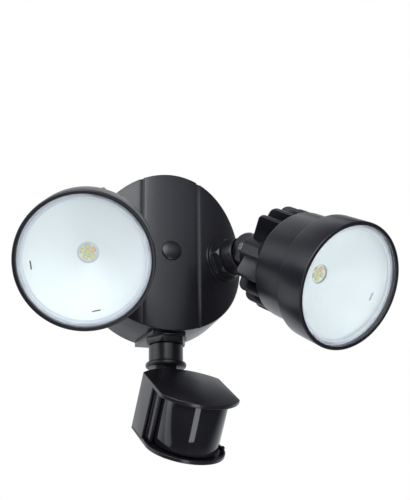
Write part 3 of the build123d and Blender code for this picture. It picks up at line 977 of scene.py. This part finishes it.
def lampGlass(name, shape, glass):
    out, step, lip = shape["window"] - 0.1, glass["step"], glass["lip"]
    front, back = shape["rim"] - shape["glassFront"], shape["rim"] - shape["glassBack"]
    floor = front - glass["stepDeep"]
    return lathe(name, rounded([
        (0, back), (out, back, 0.3), (out, front, 0.5), (step, front), (step, floor), (lip, floor),
        (lip, front + glass["lipHigh"], 0.3), (glass["middle"], front, 0.4), (0, front),
    ], 4), 160)


sealShape = dict(inner=40.4, outer=44.25, step=(42.3, 42.0), thick=0.6, stepDeep=0.35)


def lampSeal(name, shape, seal):
    inner, outer, (high, low) = seal["inner"], seal["outer"], seal["step"]
    top = shape["rim"] - shape["glassBack"]
    floor, step = top - seal["thick"], top - seal["stepDeep"]
    return lathe(name, rounded([
        (inner, floor), (outer, floor), (outer, top), (high, top, 0.1), (low, step, 0.1),
        (inner, step, 0.1),
    ], 3), 144)


reflectorShape = dict(
    wallEnd=7.0, wallFrom=1.9, curve=1.2, foot=0.15, footRadius=12.0, footHigh=1.0, rimBack=4.6,
    # the well's reach, and how strongly its wall is darkened with painted shade
    well=0.35, wellTone=0.75, slit=((36.1, 37.0), (-3.0, 3.0)), slitFrom=8,
    slitTurns={"left": (163, 256), "right": (0,)},
)


def reflector(name, shape, bowl, side):
    # the two points after the wall keep the painted shade on the well's wall narrow
    board, rim, throat, window = pick(shape, "board rim throat window")
    wallEnd, out, start = rim - bowl["wallEnd"], window - 2.0, board + bowl["wallFrom"]
    inner, outer = [], []
    for k in range(25):
        t = k / 24
        along = throat + (out - throat) * t
        rise = start + (wallEnd - start) * t ** bowl["curve"]
        inner.append((along, rise))
        outer.append((along + 0.6 + 0.5 * t, rise - 1.2))
    ledge, edge = rim - shape["ledge"], rim - bowl["rimBack"]
    foot, under = bowl["footRadius"], board + bowl["foot"]
    outline = [(throat, under), (foot, under), (foot, board + bowl["footHigh"])]
    outline += [spot for spot in outer if foot + 0.5 < spot[0] < window - 1.2]
    outline += [(window - 1.0, wallEnd - 0.8), (window - 1.0, ledge), (window - 0.1, ledge)]
    outline += [(window - 0.1, edge), (out, edge), (out, wallEnd + 0.4)] + inner[:0:-1]
    outline += [(throat + 0.4, start + 0.05), (throat + 0.3, start + 0.05), inner[0]]
    made = lathe(name, outline, 144)
    across, wide = bowl["slit"]
    for turn in bowl["slitTurns"][side]:
        slit = brick("slit", across, wide, (board + bowl["slitFrom"], wallEnd + 2))
        carved(made, turned(slit, turn))
    # the wall of the well round the LED board gets painted shade, grey inside the well's reach
    well, grey = throat + bowl["well"], bowl["wellTone"]
    return toned(made, lambda x, y, z: grey if hypot(x, y) < well else 0.0)


def ledBoard(name, shape):
    board, radius, low = shape["board"], shape["boardRadius"], shape["board"] - shape["boardThick"]
    outline = rounded([(0, low), (radius, low, 0.2), (radius, board, 0.2), (0, board)], 3)
    plate = lathe(name, outline)
    for side in (-1, 1):
        carved(plate, shifted(rod(1.2, -2, 2, 32), side * 9.6, 0, board))
    return plate


chipShape = dict(
    frame=(1.4, 1.75), frameHigh=(0, 0.45), face=(1.28, 1.6), faceHigh=(0.3, 0.7),
    faceFrom=0.48, around=5, reach=3.9, middleTurn=30,
    warmTurn={"left": 0, "right": 72},
)


def chipPart(name, board, half, high):
    x, y = half
    return brick(name, (-x, x), (-y, y), (board + high[0], board + high[1]))


def chip(name, board, chips, at, turn):
    base = bevelled(chipPart(name, board, chips["frame"], chips["frameHigh"]), 0.15, 2)
    face = bevelled(chipPart(name, board, chips["face"], chips["faceHigh"]), 0.2, 3)
    return shifted(turned(gathered(name, base, face), turn), at, 0, 0)


def ledChips(name, shape, chips, side):
    # five around one in the middle, of which the one towards the warm turn is orange
    board = shape["board"]
    around = chip("chipsAround", board, chips, chips["reach"], 0)
    repeated(around, chips["around"], 2.0, finishes["led_yellow"])
    made = gathered(name, around, chip("chipMiddle", board, chips, 0, chips["middleTurn"]))
    face, warm = board + chips["faceFrom"], radians(chips["warmTurn"][side])

    def tone(x, y, z):
        if z < face:
            return 0.0
        return 2.0 if hypot(x, y) > 2.4 and cos(atan2(y, x) - warm) > 0.85 else 1.0

    return toned(made, tone)


for side in ("left", "right"):
    body, head, axis = side + "_head", places[side]["head"], places[side]["axis"]
    casting = heatSink(side + "HeatSink", headShape, finShape)
    settled(casting, head, body, side + "_heat_sink", crease=42)
    settled(frontRing(side + "FrontRing", headShape), axis, body, side + "_front_ring")
    glass = lampGlass(side + "Glass", headShape, glassShape)
    settled(glass, axis, body, side + "_lens", crease=30)
    settled(lampSeal(side + "Seal", headShape, sealShape), axis, body, side + "_lens_gasket")
    bowl = reflector(side + "Reflector", headShape, reflectorShape, side)
    settled(bowl, axis, body, side + "_reflector")
    settled(ledBoard(side + "LedBoard", headShape), axis, body, side + "_led_board")
    chips = ledChips(side + "LedChips", headShape, chipShape, side)
    settled(chips, axis, body, side + "_led_chips")
print("lamp heads made")

# Sensor head: hooded housing, cover, window frame and the dark window

sensorShape = dict(
    half=30.35, top=16.5, hoodThick=3.0, bottom=-25.7, back=25.4, backBulge=14.0, side=67.2,
    frontBulge=16.5, corner=5.0, panel=48.6, wall=2.0, hollowTo=60, ear=9.4, earThick=8.0,
    earTo=22.0, slotHalf=5.6, pinHole=3.02,
)


def backEdge(shape, inset):
    back = shape["back"]
    return bow(shape["half"] - inset, back, back - shape["backBulge"] + inset)


def hoodPlan(shape):
    half, side, corner = pick(shape, "half side corner")
    sag = shape["frontBulge"]
    radius = (half ** 2 + sag ** 2) / (2 * sag)
    middle = side + sag - radius
    lift = middle + sqrt((radius - corner) ** 2 - (half - corner) ** 2)
    meet = degrees(atan2(lift - middle, half - corner))
    outline = backEdge(shape, 0)
    outline += arc((half - corner, lift), corner, 0, meet, 8)
    outline += arc((0, middle), radius, meet, 180 - meet, 60)[1:-1]
    return outline + arc((corner - half, lift), corner, 180 - meet, 180, 8)


def bodyPlan(shape, inset, front):
    half = shape["half"] - inset
    return backEdge(shape, inset) + [(half, front), (-half, front)]


def sensorHousing(name, shape):
    top, low = pick(shape, "top bottom")
    under = top - shape["hoodThick"]
    hood = prism("hood", hoodPlan(shape), under, top, "xzy")
    shell = prism("shell", bodyPlan(shape, 0, shape["panel"]), low, under + 1, "xzy")
    carved(hood, shell, operation="UNION")
    hollow = bodyPlan(shape, shape["wall"], shape["hollowTo"])
    carved(hood, prism("hollow", hollow, low - 5, under, "xzy"))
    parts = [bevelled(hood, 0.8, 4, 40)]
    ear, slot, end = pick(shape, "ear slotHalf earTo")
    outline = arc((0, 0), ear, 180, 360, 24) + [(ear, end), (-ear, end)]
    for side in (-1, 1):
        near, far = sorted((side * slot, side * (slot + shape["earThick"])))
        lug = bevelled(prism("ear", outline, near, far, "yzx"), 0.6)
        parts.append(carved(lug, pinCylinder(shape["pinHole"], -30, 30)))
    return gathered(name, *parts)


coverShape = dict(
    thick=1.6, nose=27.7, noseFrom=57.8, lipFrom=48.8, lipHigh=(-0.6, 1.2),
    tab=((26.6, 28.4), (62, 65)), tabHigh=(-0.5, 4.4), spigot=(2.1, 1.0),
    spigotWall=1.5, spigotHigh=(-0.5, 3), dial=(12, 33.5), dialRadius=5.3,
    switch=((-18, -6), (31, 36)),
)


def coverNose(shape, cover, inset, steps=60):
    half, reach = shape["half"] - inset, cover["nose"] - inset
    turns = [pi * k / steps for k in range(steps + 1)]
    return [(half * cos(a), cover["noseFrom"] + reach * sin(a)) for a in turns]


def bottomCover(name, shape, cover):
    low, half, panel = pick(shape, "bottom half panel")
    thick, start = pick(cover, "thick lipFrom")

    def between(levels):
        return low + levels[0], low + levels[1]

    nose, within = coverNose(shape, cover, 0), coverNose(shape, cover, thick)
    plate = bevelled(prism("plate", backEdge(shape, 0) + nose, low - thick, low, "xzy"), 0.45)
    outline = [(half, start)] + nose + [(-half, start), (thick - half, start)]
    outline += within[::-1] + [(half - thick, start)]
    lip = bevelled(prism("lip", outline, *between(cover["lipHigh"]), "xzy"), 0.3)
    across, along = cover["tab"]
    tab = bevelled(brick("tab", across, between(cover["tabHigh"]), along), 0.35)
    inset, short = cover["spigot"]
    plan = bodyPlan(shape, inset, panel - short)
    spigot = prism("spigot", plan, *between(cover["spigotHigh"]), "xzy")
    wall = cover["spigotWall"]
    plan = bodyPlan(shape, inset + wall, panel - short - wall - 0.1)
    carved(spigot, prism("within", plan, low - 3, low + 5, "xzy"))
    x, z = cover["dial"]
    dial = shifted(turned(rod(cover["dialRadius"], -6, 6, 64), 90, "X"), x, low, z)
    across, along = cover["switch"]
    carved(plate, brick("switchHole", across, (low - 5, low + 5), along), dial)
    return gathered(name, plate, lip, tab, spigot)


frameShape = dict(half=28, opening=21, border=3, strip=(24.9, 27.6), stripTo=57.2)


def windowFrame(name, shape, border):
    low, high, panel = shape["bottom"] + 1.3, shape["top"] - shape["hoodThick"], shape["panel"]
    half, opening, edge = pick(border, "half opening border")
    face = brick("face", (-half, half), (low, high), (panel - 0.6, panel + 1.4))
    carved(face, brick("opening", (-opening, opening), (low + edge, high - edge), (40, 60)))
    parts = [bevelled(face, 0.3)]
    for side in (-1, 1):
        across = sorted(side * x for x in border["strip"])
        strip = brick("strip", across, (low, high), (panel + 0.5, border["stripTo"]))
        parts.append(bevelled(strip, 0.5))
    return gathered(name, *parts)


windowShape = dict(radius=24.2, middle=57.8, wall=1.1, legs=6.9, high=(-23.1, 13.1))


def sensorWindow(name, shape):
    radius, middle, wall = pick(shape, "radius middle wall")
    inner, start = radius - wall, middle - shape["legs"]
    outline = [(radius, start)] + arc((0, middle), radius, 0, 180, 72) + [(-radius, start)]
    outline += [(-inner, start)] + arc((0, middle), inner, 180, 0, 72) + [(inner, start)]
    return bevelled(prism(name, outline, *shape["high"], "xzy"), 0.25, 2, 50)


sensorPlace = places["sensor"]["head"]
for made, node in (
    (sensorHousing("sensorHousing", sensorShape), "sensor_housing"),
    (bottomCover("sensorBottomCover", sensorShape, coverShape), "sensor_bottom_cover"),
    (windowFrame("sensorWindowFrame", sensorShape, frameShape), "sensor_lens_frame"),
    (sensorWindow("sensorWindow", windowShape), "sensor_lens"),
):
    settled(made, sensorPlace, "sensor_head", node, crease=34)
print("sensor head made")

# Background: white for the camera and through glass, and behind the light in gloss too

studio = dict(
    # levels of the world's light, then the ranges of direction over which its gloss changes
    ambient=0.3, glossColour=(0.93, 0.96, 1.0), leftGloss=2.1, rightGloss=0.1,
    lowGloss=0.45, underGloss=0.03, ceilingGloss=0.1, leftToRight=(-0.25, 0.8),
    frontToBack=(-0.15, 0.5), underToAbove=(-0.1, 0.25), lowToLevel=(-0.7, -0.05),
    levelToCeiling=(0.45, 0.8),
)


def addWorld(look):
    world = bpy.data.worlds.new("studio")
    scene.world = world
    world.use_nodes = True
    sky = Nodes(world.node_tree, "ShaderNodeOutputWorld")
    rays = sky.node("ShaderNodeLightPath", {}).outputs
    direction = sky.node("ShaderNodeTexCoord", {}).outputs["Generated"]
    x, y, z = sky.node("ShaderNodeSeparateXYZ", {}, direction).outputs

    def backdrop(strength, colour=(1, 1, 1)):
        return sky.node("ShaderNodeBackground", {}, colour, strength).outputs[0]

    front = sky.ramp(x, *look["leftToRight"], look["leftGloss"], look["rightGloss"])
    above = sky.ramp(z, *look["underToAbove"], look["underGloss"], 1.0, "SMOOTHSTEP")
    fade = sky.ramp(y, *look["frontToBack"], front * above, 1.0, "SMOOTHSTEP")
    low = sky.ramp(z, *look["lowToLevel"], look["lowGloss"], 1.0)
    ceiling = sky.ramp(z, *look["levelToCeiling"], 1.0, look["ceilingGloss"], "SMOOTHSTEP")
    plain = backdrop(look["ambient"])
    gloss = backdrop(fade * low * ceiling, look["glossColour"])
    shiny = sky.node("ShaderNodeMixShader", {}, rays["Is Glossy Ray"], plain, gloss)
    straight = sky.maths("MAXIMUM", rays["Is Camera Ray"], rays["Is Transmission Ray"])
    sky.show(sky.node("ShaderNodeMixShader", {}, straight, shiny.outputs[0], backdrop(1.0)))


addWorld(studio)

floorShape = dict(
    # in metres: the round floor, its middle behind the light, and where it starts to fade
    radius=1.15, behind=0.75, height=-0.8, fadeFrom=0.55, fadeTo=1.127, corners=96,
    colours=((0.9, 0.9, 0.9), (0.891, 0.891, 0.891)),
)


def addFloor(shape):
    # a round pale floor that fades into the white background
    radius, behind, height = pick(shape, "radius behind height")
    count = shape["corners"]
    turns = [wholeTurn * k / count for k in range(count)]
    spots = [(radius * cos(a), behind + radius * sin(a), height) for a in turns]
    mesh = bpy.data.meshes.new("studioFloor")
    mesh.from_pydata(spots, [], [tuple(range(count))])
    paint = Paint("studioFloor")
    paint.set(
        Base_Color=paint.mix(paint.noise(6, 2.0), *shape["colours"]),
        Roughness=0.8,
        Specular_IOR_Level=0.1,
    )
    fromMiddle = paint.place(shift=(0, -behind, -height))
    reach = paint.node("ShaderNodeVectorMath", {"operation": "LENGTH"}, fromMiddle)
    fade = paint.ramp(reach.outputs["Value"], shape["fadeFrom"], shape["fadeTo"], 0.0, 1.0)
    seen = paint.node("ShaderNodeLightPath", {}).outputs["Is Camera Ray"]
    white = paint.node("ShaderNodeEmission", {}, (1, 1, 1), 1.0).outputs[0]
    nothing = paint.node("ShaderNodeBsdfTransparent", {}, (1, 1, 1)).outputs[0]
    far = paint.node("ShaderNodeMixShader", {}, seen, nothing, white).outputs[0]
    paint.show(paint.node("ShaderNodeMixShader", {}, fade, paint.shader.outputs[0], far))
    mesh.materials.append(paint.material)
    linked("studioFloor", mesh)


addFloor(floorShape)
print("floor laid")
